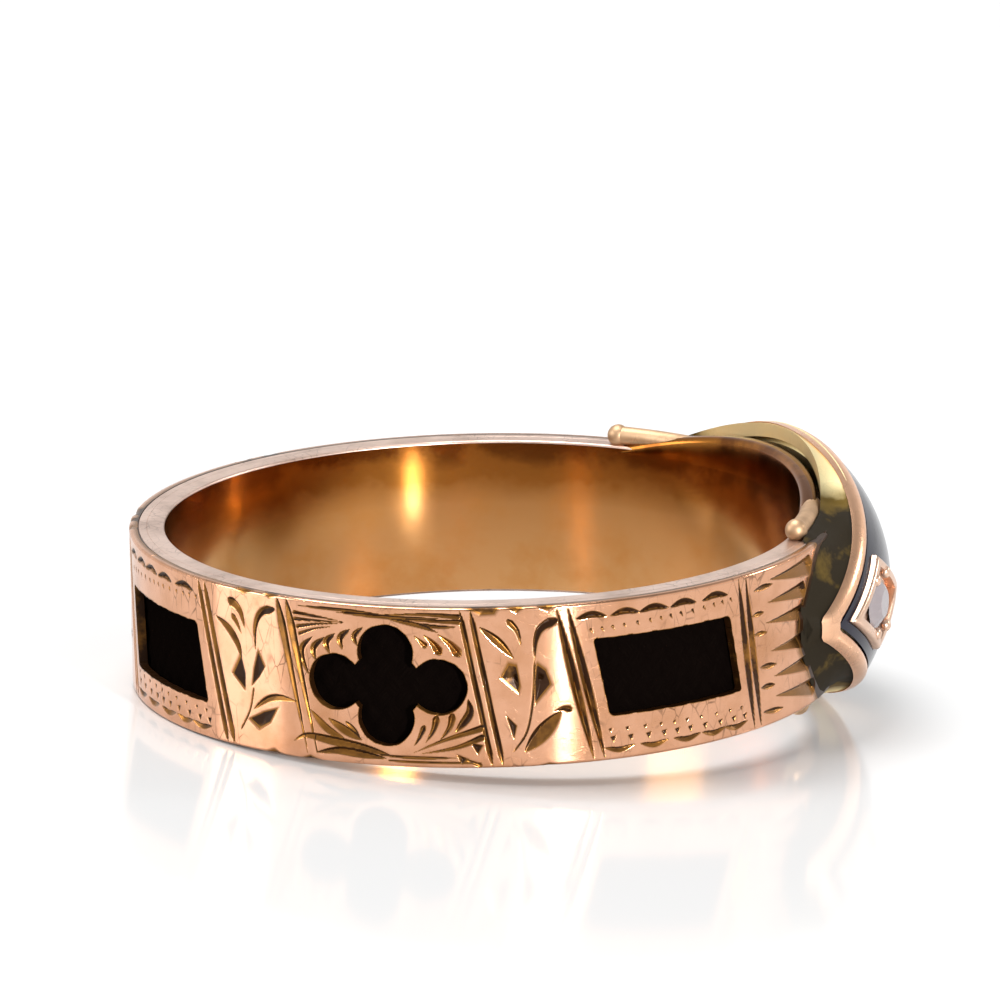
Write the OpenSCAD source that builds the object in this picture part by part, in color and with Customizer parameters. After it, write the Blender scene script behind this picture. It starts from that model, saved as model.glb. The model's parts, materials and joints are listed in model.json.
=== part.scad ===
// Mourning ring: a pierced and engraved gold band over a strip of woven hair,
// with a domed black enamel head that carries three stones in lozenge settings.
// It lies on its side as it rests by itself: finger hole at the origin, head towards +X.

/* [Finger hole and band] */
// Diameter of the finger hole
finger_d = 18; // [15:0.1:22]
// Height of the band along the finger
band_h = 4.55; // [4.2:0.05:6]
// Thickness of the inner liner
liner_t = 0.25; // [0.2:0.05:0.5]
// Radial depth of the channel that holds the hair
channel_d = 0.5; // [0.4:0.05:1]
// Thickness of the pierced outer wall
wall_t = 0.25; // [0.2:0.05:0.5]
// Height of the solid rims above and below the channel
rim_h = 0.4; // [0.3:0.05:0.5]
// Chamfer along the edges of the band
edge_chamfer = 0.06; // [0.02:0.01:0.1]

/* [Hair] */
// Clearance between the hair strip and the channel, all round
hair_gap = 0.05; // [0.02:0.01:0.1]

/* [Panels of the band] */
// Angle from the middle of the head to the end of each terminal, where the panels begin
terminal_angle = 65.3; // [60:0.1:70]
// Slant of the windows and dividing lines, in degrees from the finger's direction
slant = 11.5; // [0:0.5:15]
// Metal left at each side of a rectangular window
window_side = 0.6; // [0.45:0.05:0.9]
// Metal left above and below a rectangular window
window_edge = 1.15; // [0.8:0.05:1.3]
// Radius of a window's corners
window_corner_r = 0.12; // [0.05:0.01:0.3]
// Metal left at each side of a quatrefoil
foil_side = 0.39; // [0.3:0.01:0.6]
// Metal left above and below a quatrefoil
foil_edge = 0.55; // [0.5:0.01:0.7]
// Radius of a quatrefoil's lobes
foil_lobe_r = 0.8; // [0.6:0.05:0.9]
// Radius of a quatrefoil's middle
foil_heart_r = 1.02; // [0.9:0.02:1.1]
// Distance between the two grooves of a dividing line
groove_gap = 0.28; // [0.22:0.02:0.4]
// Width of one groove
groove_w = 0.12; // [0.06:0.01:0.18]

/* [Head] */
// Length of the head from tip to tip
head_l = 16; // [13:0.1:17]
// Width of the head across, along the finger
head_w = 7.5; // [6.5:0.1:8]
// Height of the head's crown above the band
head_rise = 1.85; // [1.6:0.05:2.4]
// Radius of the crown from tip to tip
crown_along_r = 8.9; // [8.6:0.1:11]
// Radius of the crown from side to side
crown_across_r = 4.65; // [4.2:0.05:7]
// Depth to which the head's sides reach down past the band's outer face
head_skirt = 0.4; // [0.2:0.05:0.8]
// Thickness of the head's side walls
head_wall = 0.4; // [0.3:0.05:0.6]
// Length of the foot under the head, where it lies on the band
foot_l = 15.5; // [13:0.1:16.5]
// Radius of the foot's two sides
foot_side_r = 8; // [7.9:0.1:12]
// Thickness of the foot
foot_t = 0.3; // [0.1:0.05:0.4]
// Width of the gold rim round the enamel
head_rim = 0.28; // [0.15:0.01:0.35]
// Thickness of the gold plate under the enamel
plate_t = 0.3; // [0.2:0.05:0.4]
// Width of the head's back across, along the finger, at its middle
back_w = 6.5; // [5.5:0.1:7]
// Thickness of the head's back, which carries the finger hole's wall on past the band's edges
back_t = 0.5; // [0.3:0.05:0.55]

/* [Enamel] */
// Depth of the enamel
enamel_t = 0.3; // [0.2:0.05:0.4]
// Clearance between the enamel and the gold round it
enamel_gap = 0.03; // [0.02:0.01:0.05]

/* [Stones and their settings] */
// Distance from the head's tips to the nearest corners of the end settings
setting_margin = 0.72; // [0.5:0.02:1]
// Length of a lozenge setting, along the head
lozenge_l = 4.4; // [3.6:0.1:4.4]
// Width of a lozenge setting
lozenge_w = 2.75; // [2.4:0.05:2.8]
// Width of a setting's frame
lozenge_frame = 0.28; // [0.2:0.01:0.4]
// Height of a setting's frame above the enamel
lozenge_rise = 0.18; // [0.1:0.01:0.3]
// Depth of a setting's floor below its frame
lozenge_sink = 0.3; // [0.2:0.01:0.4]
// Diameter of a stone at its girdle
stone_d = 1.6; // [1.2:0.05:1.7]
// Diameter of a stone's table
table_d = 0.85; // [0.6:0.05:1]
// Height of a stone's crown
stone_crown_h = 0.26; // [0.2:0.01:0.35]
// Depth of a stone below its girdle
stone_pavilion_h = 0.5; // [0.4:0.01:0.6]
// Clearance between a stone and its seat
stone_gap = 0.02; // [0.01:0.01:0.04]
// Diameter of the four grains that hold a stone
grain_d = 0.36; // [0.25:0.01:0.45]

/* [Shoulder wires] */
// Diameter of the wires on the band's edges beside the head
wire_d = 0.45; // [0.35:0.05:0.6]
// Diameter of the ball at each wire's end
wire_ball_d = 0.6; // [0.5:0.05:0.75]
// Distance from the finger hole to the middle of a wire
wire_inset = 0.3; // [0.25:0.05:0.6]
// Angle from the middle of the head to a wire's ball
wire_end_angle = 40; // [36:0.5:45]
// Angle from the middle of the head to a wire's other end, under the head
wire_start_angle = 24; // [20:0.5:30]
// Depth to which a wire is let into the band's edge
wire_sink = 0.08; // [0.04:0.01:0.12]

/* [Hidden] */
$fn = 96;

finger_r = finger_d / 2;
channel_in_r = finger_r + liner_t;
channel_out_r = channel_in_r + channel_d;
outer_r = channel_out_r + wall_t;
channel_h = band_h - 2 * rim_h;

// Each panel of the band, in order from the head's near tip round to its far tip: what it carries,
// its share of the angle between the terminals, and how far its opening sits above the band's middle.
KIND = 0;
SHARE = 1;
RISE = 2;
panels = [
    ["window", 32.3, 0.12],
    ["flowers", 15.9, 0],
    ["quatrefoil", 30.6, 0.04],
    ["flowers", 17.1, 0],
    ["window", 33.2, -0.13],
    ["flowers", 18.2, 0],
    ["quatrefoil", 31.7, 0],
    ["flowers", 17, 0],
    ["window", 33.4, 0],
];
function share_before(n) = n == 0 ? 0 : share_before(n - 1) + panels[n - 1][SHARE];
degrees_per_share = (360 - 2 * terminal_angle) / share_before(len(panels));
function panel_start(n) = -terminal_angle - share_before(n) * degrees_per_share;
function panel_middle(n) = (panel_start(n) + panel_start(n + 1)) / 2;
function panel_width(n) = outer_r * panels[n][SHARE] * degrees_per_share * PI / 180;

// The head's plan is a pointed almond between two equal arcs.
plan_r = (pow(head_l / 2, 2) + pow(head_w / 2, 2)) / head_w;
plan_shift = plan_r - head_w / 2;
crown_top_r = outer_r + head_rise;
crown_centre = crown_top_r - crown_along_r;
reach = crown_top_r + head_rise;
skirt_r = outer_r - head_skirt;

// The back's sides are arcs that come down to the band's edges where the wires end.
wire_r = finger_r + wire_inset;
back_half_l = wire_r * sin(wire_end_angle);
back_rise = (back_w - band_h) / 2;
back_side_r = (pow(back_half_l, 2) + pow(back_rise, 2)) / 2 / back_rise;

// The settings stand round the middle of the crown's arc, from the near tip of the head to the far one.
setting_tip_angle = asin((head_l / 2 - setting_margin) / crown_along_r);
setting_angle = setting_tip_angle - asin(lozenge_l / 2 / crown_along_r);
setting_angles = [-setting_angle, 0, setting_angle];
frame_top_r = crown_along_r + lozenge_rise;
girdle_r = frame_top_r - lozenge_sink + stone_gap;
// The grains stand where the stone comes nearest to the frame.
grain_angle = atan2(lozenge_l, lozenge_w);
grain_orbit = stone_d / 2 + grain_d / 3;

// The ring rests on the head's side and on the opposite edge of the band.
rest_tilt = atan((head_w - band_h) / 2 / (skirt_r + outer_r));

gold = [0.87, 0.62, 0.45];
hair_black = [0.05, 0.04, 0.04];
enamel_black = [0.08, 0.08, 0.13];
stone_white = [0.92, 0.92, 0.96];

// Turns a ring that stands square on its finger hole into its resting position.
module resting() {
    rotate([0, -rest_tilt, 0]) children();
}

// Raises a flat shape outwards from radius r1 to radius r2 at an angle round the finger.
module outwards(angle, r1, r2) {
    rotate([0, 0, angle])
        translate([r1, 0, 0])
        rotate([90, 0, 90])
        linear_extrude(r2 - r1)
        children();
}

module band_section() {
    half = band_h / 2;
    polygon([
        [finger_r, -half + edge_chamfer], [finger_r + edge_chamfer, -half],
        [outer_r - edge_chamfer, -half], [outer_r, -half + edge_chamfer],
        [outer_r, half - edge_chamfer], [outer_r - edge_chamfer, half],
        [finger_r + edge_chamfer, half], [finger_r, half - edge_chamfer],
    ]);
}

// A slanted window with round corners.
module window_outline(width) {
    half_h = band_h / 2 - window_edge;
    corner_z = half_h - window_corner_r;
    corner_x = width / 2 - window_corner_r / cos(slant);
    lean = corner_z * tan(slant);
    side = window_corner_r * [cos(slant), sin(slant)];
    right_low = [corner_x + lean, -corner_z];
    right_high = [corner_x - lean, corner_z];
    polygon([
        [right_low[0], -half_h], right_low + side, right_high + side, [right_high[0], half_h],
        [-right_low[0], half_h], -right_low - side, -right_high - side, [-right_high[0], -half_h],
    ]);
    for (corner = [right_low, right_high, -right_low, -right_high])
        translate(corner) circle(window_corner_r);
}

module foil_outline(width) {
    lobe_x = width / 2 - foil_lobe_r;
    lobe_z = band_h / 2 - foil_edge - foil_lobe_r;
    circle(foil_heart_r);
    for (lobe = [[lobe_x, 0], [0, lobe_z], [-lobe_x, 0], [0, -lobe_z]])
        translate(lobe) circle(foil_lobe_r);
}

module panel_opening(n) {
    outwards(panel_middle(n), channel_out_r - channel_d / 2, reach)
        translate([0, panels[n][RISE]]) {
            if (panels[n][KIND] == "window")
                window_outline(panel_width(n) - 2 * window_side);
            if (panels[n][KIND] == "quatrefoil")
                foil_outline(panel_width(n) - 2 * foil_side);
        }
}

// One V-shaped groove across the band.
module groove(angle) {
    rotate([0, 0, angle])
        translate([outer_r, 0, 0])
        rotate([slant, 0, 0])
        rotate([0, 0, 45])
        cube([groove_w / sqrt(2), groove_w / sqrt(2), 2 * band_h], center = true);
}

module dividing_line(angle) {
    half_gap = groove_gap / 2 / outer_r * 180 / PI;
    groove(angle - half_gap);
    groove(angle + half_gap);
}

module band() {
    difference() {
        union() {
            rotate_extrude() band_section();
            head_back();
        }
        rotate_extrude()
            translate([channel_in_r, -channel_h / 2])
            square([channel_d, channel_h]);
        for (n = [0 : len(panels) - 1])
            if (panels[n][KIND] != "flowers") panel_opening(n);
        for (n = [0 : len(panels)])
            dividing_line(panel_start(n));
    }
}

// The body under the head's crown, raised or lowered by a lift.
module crown(lift) {
    across_r = crown_across_r + lift;
    hub_r = crown_along_r - crown_across_r;
    translate([crown_centre, 0, 0])
        rotate_extrude() {
            translate([0, -across_r]) square([hub_r, 2 * across_r]);
            intersection() {
                translate([hub_r, 0]) circle(across_r);
                translate([0, -reach]) square(2 * reach);
            }
        }
}

// A pointed outline between two arcs, raised outwards through the head.
module pointed(side_r, shift) {
    outwards(0, outer_r / 2, reach)
        intersection() {
            translate([0, shift]) circle(side_r);
            translate([0, -shift]) circle(side_r);
        }
}

module almond(inset) {
    pointed(plan_r - inset, plan_shift);
}

// Moves what stands square on the crown's arc to one setting.
module at_setting(angle) {
    translate([crown_centre, 0, 0]) rotate([0, 0, angle]) children();
}

module lozenge(angle, inset) {
    half_l = lozenge_l / 2;
    half_w = lozenge_w / 2;
    corner = 1 - inset * sqrt(half_l * half_l + half_w * half_w) / (half_l * half_w);
    at_setting(angle)
        outwards(0, crown_along_r / 2, reach)
        polygon(corner * [[half_l, 0], [0, half_w], [-half_l, 0], [0, -half_w]]);
}

// The pocket sunk for the enamel, inside the gold rim.
module enamel_pocket() {
    difference() {
        almond(head_rim);
        crown(-enamel_t);
    }
}

module head_box() {
    difference() {
        intersection() {
            almond(0);
            crown(0);
        }
        intersection() {
            almond(head_wall);
            crown(-enamel_t - plate_t);
        }
        cylinder(r = skirt_r, h = 2 * reach, center = true);
        cylinder(r = outer_r - wall_t / 2, h = band_h - rim_h, center = true);
    }
}

// The back carries the liner on under the head, wider than the band.
module head_back() {
    intersection() {
        rotate_extrude()
            translate([finger_r, -back_w / 2])
            square([back_t, back_w]);
        outwards(0, 0, reach)
            intersection() {
                translate([0, back_side_r - back_w / 2]) circle(back_side_r, $fn = 360);
                translate([0, back_w / 2 - back_side_r]) circle(back_side_r, $fn = 360);
            }
    }
}

// The foot lies on the band's face under the box.
module head_foot() {
    intersection() {
        pointed(foot_side_r, sqrt(pow(foot_side_r, 2) - pow(foot_l / 2, 2)));
        difference() {
            cylinder(r = outer_r + foot_t, h = band_h - 2 * edge_chamfer, center = true);
            cylinder(r = outer_r - wall_t / 2, h = band_h, center = true);
        }
    }
}

module setting(angle) {
    difference() {
        intersection() {
            lozenge(angle, 0);
            crown(lozenge_rise);
        }
        crown(-enamel_t - plate_t / 2);
        difference() {
            lozenge(angle, lozenge_frame);
            crown(lozenge_rise - lozenge_sink);
        }
    }
    for (along = [-1, 1], across = [-1, 1])
        at_setting(angle)
            translate([frame_top_r, along * grain_orbit * cos(grain_angle), across * grain_orbit * sin(grain_angle)])
            sphere(d = grain_d, $fn = 24);
}

// The seat drilled for a stone, which opens into the hollow of the head.
module seat(angle) {
    at_setting(angle)
        outwards(0, crown_along_r - enamel_t - 2 * plate_t, girdle_r)
        circle(d = stone_d - 4 * stone_gap);
}

module wire(side, edge) {
    wire_z = edge * (band_h / 2 + wire_d / 2 - wire_sink);
    rotate([0, 0, side > 0 ? wire_start_angle : -wire_end_angle])
        rotate_extrude(angle = wire_end_angle - wire_start_angle)
        translate([wire_r, wire_z])
        circle(d = wire_d, $fn = 24);
    rotate([0, 0, side * wire_end_angle])
        translate([wire_r, 0, wire_z])
        sphere(d = wire_ball_d, $fn = 24);
}

module gold_ring() {
    color(gold) resting() {
        difference() {
            union() {
                difference() {
                    union() {
                        band();
                        head_foot();
                        head_box();
                    }
                    enamel_pocket();
                }
                for (angle = setting_angles) setting(angle);
            }
            for (angle = setting_angles) seat(angle);
        }
        for (side = [-1, 1], edge = [-1, 1]) wire(side, edge);
    }
}

module hair_strip() {
    color(hair_black) resting()
        rotate_extrude()
        translate([channel_in_r + hair_gap, -channel_h / 2 + hair_gap])
        square([channel_d - 2 * hair_gap, channel_h - 2 * hair_gap]);
}

module enamel_field() {
    color(enamel_black) resting()
        difference() {
            intersection() {
                almond(head_rim + enamel_gap);
                crown(0);
            }
            crown(-enamel_t + enamel_gap);
            for (angle = setting_angles) lozenge(angle, -enamel_gap);
        }
}

// A round stone with a table, a crown of sixteen facets and a pointed pavilion.
module stone(angle) {
    table_r = table_d / 2;
    girdle = stone_d / 2 - stone_gap;
    color(stone_white) resting()
        at_setting(angle)
        translate([girdle_r, 0, 0])
        rotate([0, 90, 0])
        union() {
            intersection_for (turn = [0, 22.5])
                rotate([0, 0, turn])
                cylinder(r1 = girdle / cos(22.5), r2 = table_r, h = stone_crown_h, $fn = 8);
            mirror([0, 0, 1])
                cylinder(r1 = girdle * cos(22.5), r2 = 0.02, h = stone_pavilion_h, $fn = 8);
        }
}

module stone_near() {
    stone(setting_angles[0]);
}

module stone_middle() {
    stone(setting_angles[1]);
}

module stone_far() {
    stone(setting_angles[2]);
}

gold_ring();
hair_strip();
enamel_field();
stone_near();
stone_middle();
stone_far();
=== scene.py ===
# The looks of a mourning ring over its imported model: a pierced and engraved rose gold sleeve on a plain liner,
# woven hair in the channel between them, and a domed head with enamel and three cut stones.
import json
import math
import bpy
import bmesh
import numpy as np
from mathutils import Matrix, Vector


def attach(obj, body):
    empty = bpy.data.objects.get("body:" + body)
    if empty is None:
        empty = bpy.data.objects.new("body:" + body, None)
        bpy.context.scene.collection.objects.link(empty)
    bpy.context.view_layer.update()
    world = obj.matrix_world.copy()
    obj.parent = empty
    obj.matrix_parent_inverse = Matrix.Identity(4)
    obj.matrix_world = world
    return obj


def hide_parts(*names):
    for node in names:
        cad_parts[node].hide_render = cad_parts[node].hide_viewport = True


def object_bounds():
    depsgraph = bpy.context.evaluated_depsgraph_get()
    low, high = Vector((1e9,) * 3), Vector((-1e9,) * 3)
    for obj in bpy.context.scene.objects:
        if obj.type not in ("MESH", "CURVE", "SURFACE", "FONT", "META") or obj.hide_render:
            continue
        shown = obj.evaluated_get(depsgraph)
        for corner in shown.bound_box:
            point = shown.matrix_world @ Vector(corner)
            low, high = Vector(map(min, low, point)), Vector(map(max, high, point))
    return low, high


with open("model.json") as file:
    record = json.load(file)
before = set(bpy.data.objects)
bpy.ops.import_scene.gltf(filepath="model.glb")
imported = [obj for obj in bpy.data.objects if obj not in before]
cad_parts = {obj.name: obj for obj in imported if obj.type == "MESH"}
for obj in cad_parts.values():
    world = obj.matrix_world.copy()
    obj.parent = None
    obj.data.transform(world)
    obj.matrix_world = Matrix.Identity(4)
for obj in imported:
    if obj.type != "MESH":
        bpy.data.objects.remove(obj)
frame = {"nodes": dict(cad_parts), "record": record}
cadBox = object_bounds()
print("frame loaded")

# The ring is built in millimetres, square on its finger hole with the head towards +X, and then laid to rest.
fingerHole = frame["record"]["mounts"][0]
holeAxis = Vector(fingerHole["axis"])
restTilt = math.atan2(-holeAxis.x, holeAxis.z)
toRest = Matrix.Rotation(-restTilt, 4, "Y") @ Matrix.Scale(0.001, 4)

band = {
    "height": 4.55,       # along the finger
    "linerT": 0.25,       # thickness of the liner
    "channel": 0.5,       # radial depth of the channel that holds the hair
    "wall": 0.25,         # thickness of the pierced sleeve
    "rim": 0.4,           # height of the solid rims
    "slant": 11.5,        # slant of the windows, in degrees
    "terminal": 65.3,     # angle from the middle of the head to where the panels begin
}
fingerR = fingerHole["dims"]["r_mm"]
channelInR = fingerR + band["linerT"]
channelOutR = channelInR + band["channel"]
outerR = channelOutR + band["wall"]
halfHeight = band["height"] / 2
lean = math.tan(math.radians(band["slant"]))


def numpyPlaces(bm):
    return np.array([vert.co[:] for vert in bm.verts], float)


def setPlaces(bm, places):
    for vert, place in zip(bm.verts, places):
        vert.co = place


def faceOut(bm):
    bmesh.ops.recalc_face_normals(bm, faces=bm.faces)


# A sheet made from a flat grid: place(u, v) bends it, with u and v from 0 to 1.
def bentGrid(columns, rows, place, closed=False):
    bm = bmesh.new()
    bmesh.ops.create_grid(bm, x_segments=columns, y_segments=rows, size=0.5)
    flat = numpyPlaces(bm)[:, :2] + 0.5
    setPlaces(bm, np.stack(place(flat[:, 0], flat[:, 1]), -1))
    if closed:
        bmesh.ops.remove_doubles(bm, verts=bm.verts, dist=1e-5)
        faceOut(bm)
    return bm


def meshFrom(bm, name):
    mesh = bpy.data.meshes.new(name)
    bm.to_mesh(mesh)
    bm.free()
    return mesh


def linked(name, data):
    item = bpy.data.objects.new(name, data)
    bpy.context.scene.collection.objects.link(item)
    return item


# Every new piece ends here: it is laid to rest, linked, shaded, and rides on the ring's body.
def finishPiece(bm, name, material, sharpAngle=40, node="gold_ring"):
    bmesh.ops.transform(bm, matrix=toRest, verts=bm.verts)
    mesh = meshFrom(bm, name)
    mesh.shade_smooth()
    if sharpAngle:
        mesh.set_sharp_from_angle(angle=math.radians(sharpAngle))
    mesh.materials.append(material)
    piece = linked(name, mesh)
    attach(piece, "root")
    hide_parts(node)


def joinInto(bm, other):
    part = meshFrom(other, "part")
    bm.from_mesh(part)
    bpy.data.meshes.remove(part)


# Painted shade at each point, from 0 to 1, which the golds read as the attribute "cut".
def setPaintedShade(bm, shadeAt):
    tone = bm.verts.layers.float.new("cut")
    for vert in bm.verts:
        vert[tone] = shadeAt(vert.co)


# The values of a section's rows at v, from 0 at its first row to 1 at its last, or back at its first if it is closed.
def alongSection(rows, v, closed=True):
    rows = rows + rows[:1] if closed else rows
    return [np.interp(v * (len(rows) - 1), range(len(rows)), column) for column in zip(*rows)]


# Materials

def nodeTools(tree):
    def add(kind, inputs=None, **settings):
        node = tree.nodes.new(kind)
        for name, value in settings.items():
            setattr(node, name, value)
        for name, value in (inputs or {}).items():
            if isinstance(value, bpy.types.NodeSocket):
                tree.links.new(value, node.inputs[name])
            else:
                node.inputs[name].default_value = value
        return node
    return add


def startMaterial(name):
    material = bpy.data.materials.new(name)
    material.use_nodes = True
    material.node_tree.nodes.clear()
    return material, nodeTools(material.node_tree)


# Short forms of the nodes used most: each adds its node and gives the socket that carries the result.
def noise(add, where, scale, detail, **more):
    return add("ShaderNodeTexNoise", {"Vector": where, "Scale": scale, "Detail": detail, **more}).outputs["Fac"]


def ranged(add, value, low=0.0, high=1.0, first=0.0, last=1.0):
    return add("ShaderNodeMapRange", {
        "Value": value, "From Min": low, "From Max": high, "To Min": first, "To Max": last}).outputs["Result"]


def mixed(add, factor, first, second):
    return add("ShaderNodeMix", {"Factor": factor, 6: first, 7: second}, data_type="RGBA").outputs[2]


def worked(add, operation, *values, clamp=False):
    return add("ShaderNodeMath", dict(enumerate(values)), operation=operation, use_clamp=clamp).outputs[0]


def bumped(add, height, strength, distance=0.00001):
    return add("ShaderNodeBump", {"Strength": strength, "Distance": distance, "Height": height}).outputs[0]


def shaded(add, inputs):
    shader = add("ShaderNodeBsdfPrincipled", inputs)
    add("ShaderNodeOutputMaterial", {"Surface": shader.outputs[0]})


def linear(red, green, blue):
    def one(value):
        value /= 255
        return value / 12.92 if value <= 0.04045 else ((value + 0.055) / 1.055) ** 2.4
    return (one(red), one(green), one(blue), 1)


# Worn metal, shared by every gold: tarnish in patches, hairline scratches, grain, and dirt and painted shade read from
# the attribute "cut", which go from the cut's colour to the deep one.
wornInputs = {
    "Metal": "Color", "Tarnish": "Color", "Tarnish Amount": "Float", "Roughness": "Float", "Scratches": "Float",
    "Deep Color": "Color", "Cut Color": "Color", "Cut Roughness": "Float", "Cut": "Float",
}
wornOutputs = {"Color": "Color", "Roughness": "Float", "Normal": "Vector", "Dirt": "Float"}


def makeWornMetal():
    group = bpy.data.node_groups.new("wornMetal", "ShaderNodeTree")
    for way, sockets in (("INPUT", wornInputs), ("OUTPUT", wornOutputs)):
        for name, kind in sockets.items():
            group.interface.new_socket(name, in_out=way, socket_type="NodeSocket" + kind)
    add = nodeTools(group)
    given = add("NodeGroupInput").outputs
    where = add("ShaderNodeTexCoord").outputs["Object"]
    patches = noise(add, where, 700.0, 5.0, Roughness=0.6)
    spread = ranged(add, patches, 0.42, 0.72)
    tarnished = mixed(add, worked(add, "MULTIPLY", spread, given["Tarnish Amount"]), given["Metal"], given["Tarnish"])

    # Hairlines are the thin edges of stretched cells, in areas of their own.
    lined = add("ShaderNodeMapping", {"Vector": where, "Rotation": (0.1, 0.2, 0.4), "Scale": (1.0, 1.0, 0.45)})
    cells = add("ShaderNodeTexVoronoi", {
        "Vector": lined.outputs[0], "Scale": 3200.0, "Randomness": 1.0}, feature="DISTANCE_TO_EDGE")
    thin = ranged(add, cells.outputs["Distance"], 0.012, 0.045, 1.0, 0.0)
    area = ranged(add, noise(add, where, 420.0, 4.0, Roughness=0.7), 0.48, 0.62)
    drawn = worked(add, "MULTIPLY", worked(add, "MULTIPLY", thin, area), given["Scratches"], clamp=True)
    scored = mixed(add, drawn, tarnished, given["Deep Color"])

    # Dirt and painted shade, read from the attribute "cut" and varied in patches.
    dirtAndShade = worked(add, "MULTIPLY", given["Cut"], ranged(add, spread, first=1.25, last=0.8), clamp=True)
    shallow = mixed(add, ranged(add, dirtAndShade, high=0.65), scored, given["Cut Color"])
    deep = mixed(add, ranged(add, dirtAndShade, low=0.8), shallow, given["Deep Color"])

    grain = noise(add, where, 9000.0, 3.0)
    stretched = add("ShaderNodeMapping", {"Vector": where, "Rotation": (0.3, 0.5, 0.9), "Scale": (1.0, 9.0, 4.0)})
    fine = ranged(add, noise(add, stretched.outputs[0], 1500.0, 4.0, Distortion=0.6), 0.62, 0.66)
    relief = worked(add, "MULTIPLY_ADD", grain, 0.25, worked(add, "MULTIPLY", fine, given["Scratches"]))
    uneven = worked(add, "MULTIPLY_ADD", patches, 0.2, given["Roughness"])
    rough = worked(add, "ADD", uneven, -0.1, clamp=True)
    add("NodeGroupOutput", {
        "Color": deep, "Roughness": worked(add, "MULTIPLY_ADD", dirtAndShade, given["Cut Roughness"], rough),
        "Normal": bumped(add, relief, 0.25), "Dirt": dirtAndShade})
    return group


wornMetal = makeWornMetal()

# What each gold gives to the worn metal's inputs, in their order, with colours in the usual 0 to 255. Six values make
# a gold with neither dirt nor painted shade. The others have their colour too, how rough they are, how metallic they
# stay.
goldLooks = {
    # In the sleeve these colours serve dirt and painted shade in the cuts; in the liner and the head, only painted
    # shade.
    "sleeve": ((218, 164, 130), (176, 120, 76), 0.6, 0.12, 0.6, (44, 24, 8), (134, 90, 40), 0.2, 0.3),
    "liner": ((222, 170, 112), (200, 136, 64), 0.7, 0.16, 0.0, (112, 66, 26), (150, 96, 40), 0.0, 1.0),
    "rim": ((220, 192, 176), (150, 126, 112), 0.7, 0.35, 0.5, (90, 64, 48)),
    "head": ((255, 238, 184), (240, 205, 130), 0.3, 0.42, 0.1, (30, 23, 10), (92, 74, 34), 0.3, 0.1),
    "bezel": ((240, 190, 154), (200, 148, 112), 0.5, 0.26, 0.2, (70, 40, 20)),
    "setting": ((226, 192, 168), (196, 158, 132), 0.5, 0.3, 0.2, (70, 40, 20)),
    "wire": ((196, 162, 128), (130, 104, 78), 0.8, 0.5, 0.2, (70, 50, 30)),
}
plainTones = {      # the two tones between which each of the other finishes varies
    "enamel": ((5, 6, 18), (16, 14, 32)),
    "hair": ((2, 1, 1), (14, 9, 7)),
    "stone": ((118, 108, 112), (176, 164, 164)),
}


def goldMaterial(name, look):
    material, add = startMaterial(name)
    worn = add("ShaderNodeGroup", {
        socket: linear(*value) if isinstance(value, tuple) else value
        for socket, value in zip(wornInputs, look) if socket != "Cut"}, node_tree=wornMetal)
    metallic = 1.0
    if len(look) == len(wornInputs):
        cut = add("ShaderNodeAttribute", attribute_name="cut")
        material.node_tree.links.new(cut.outputs["Fac"], worn.inputs["Cut"])
        metallic = ranged(add, worn.outputs["Dirt"], 0.7, 1.0, 1.0, look[-1])
    shaded(add, {
        "Base Color": worn.outputs["Color"], "Roughness": worn.outputs["Roughness"], "Normal": worn.outputs["Normal"],
        "Metallic": metallic, "Specular IOR Level": 0.15})
    return material


def plainTone(add, name, factor):
    return mixed(add, factor, *(linear(*tone) for tone in plainTones[name]))


def makeEnamel():
    material, add = startMaterial("darkEnamel")
    where = add("ShaderNodeTexCoord").outputs["Object"]
    cloud = noise(add, where, 500.0, 4.0)
    specks = noise(add, where, 6000.0, 2.0)
    shaded(add, {
        "Base Color": plainTone(add, "enamel", cloud), "Roughness": ranged(add, cloud, first=0.08, last=0.22),
        "Normal": bumped(add, specks, 0.08), "IOR": 1.4, "Specular IOR Level": 0.35})
    return material


def makeHair():
    material, add = startMaterial("wovenHair")
    strands = add("ShaderNodeUVMap", uv_map="strands").outputs[0]
    stretched = add("ShaderNodeMapping", {"Vector": strands, "Scale": (28.0, 1.2, 1.0)})
    single = noise(add, stretched.outputs[0], 1.0, 3.0)
    shaded(add, {
        "Base Color": plainTone(add, "hair", single), "Roughness": 0.6, "Normal": bumped(add, single, 0.6, 0.00002),
        "IOR": 1.1, "Specular IOR Level": 0.0})
    return material


def makeStone():
    material, add = startMaterial("cutStone")
    cloud = noise(add, add("ShaderNodeTexCoord").outputs["Object"], 900.0, 3.0)
    shaded(add, {
        "Base Color": plainTone(add, "stone", cloud), "Roughness": 0.05, "IOR": 2.0, "Transmission Weight": 0.3})
    return material


sleeveGold, linerGold, rimGold, headGold, bezelGold, settingGold, wireGold = (
    goldMaterial(name + "Gold", look) for name, look in goldLooks.items())
enamelMaterial = makeEnamel()
hairMaterial = makeHair()
stoneMaterial = makeStone()
print("materials made")


# The panels of the band, in order from the head's near tip round to its far tip: what each carries, its share of
# the angle between the terminals, and how far its opening sits above the middle of the band.
panelColumns = ("kind", "share", "rise")
panelRows = [
    ("window", 32.3, 0.12),
    ("flowersOpen", 15.9, 0),
    ("quatrefoil", 30.6, 0.04),
    ("flowersClosed", 17.1, 0),
    ("window", 33.2, -0.13),
    ("flowersOpen", 18.2, 0),
    ("quatrefoil", 31.7, 0),
    ("flowersClosed", 17, 0),
    ("window", 33.4, 0),
]
opening = {
    "windowSide": 0.6, "windowEdge": 1.15, "windowCorner": 0.12,
    "foilSide": 0.39, "foilEdge": 0.55, "lobeR": 0.8, "heartR": 1.02,
    "wobble": 0.012,      # unevenness of the sawn edges
}


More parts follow.
